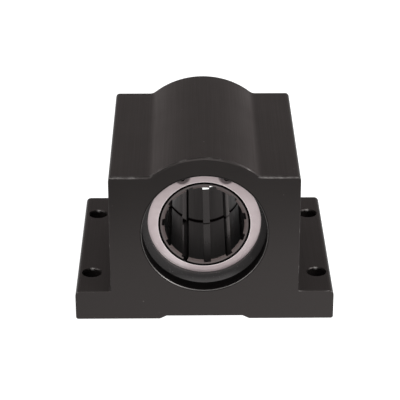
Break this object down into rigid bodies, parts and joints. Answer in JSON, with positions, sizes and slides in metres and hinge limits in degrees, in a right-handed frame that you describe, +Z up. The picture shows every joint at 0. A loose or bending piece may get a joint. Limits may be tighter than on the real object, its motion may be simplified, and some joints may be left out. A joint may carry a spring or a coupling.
{
  "type": "linear pillow block bearing",
  "caption": "Closed linear pillow block: extruded aluminium housing with a polymer-lined sleeve bearing held by internal retaining rings.",
  "frame": {"origin": "centre of the base, on the plane that the feet stand on", "axes": "+X across the mounting feet, +Y along the shaft, +Z up from the base"},
  "size_m": [0.0826, 0.0714, 0.0562],
  "materials": {
    "housing": "satin black anodised extrusion",
    "sleeve": "clear anodised, turned end face",
    "liner": "dark moulded bearing polymer",
    "ring": "phosphated spring steel"
  },
  "bodies": {
    "root": {"housing": "housing", "bearing_sleeve": "sleeve", "liner_front": "liner", "liner_rear": "liner", "retaining_ring_front": "ring", "retaining_ring_rear": "ring"}
  },
  "joints": []
}
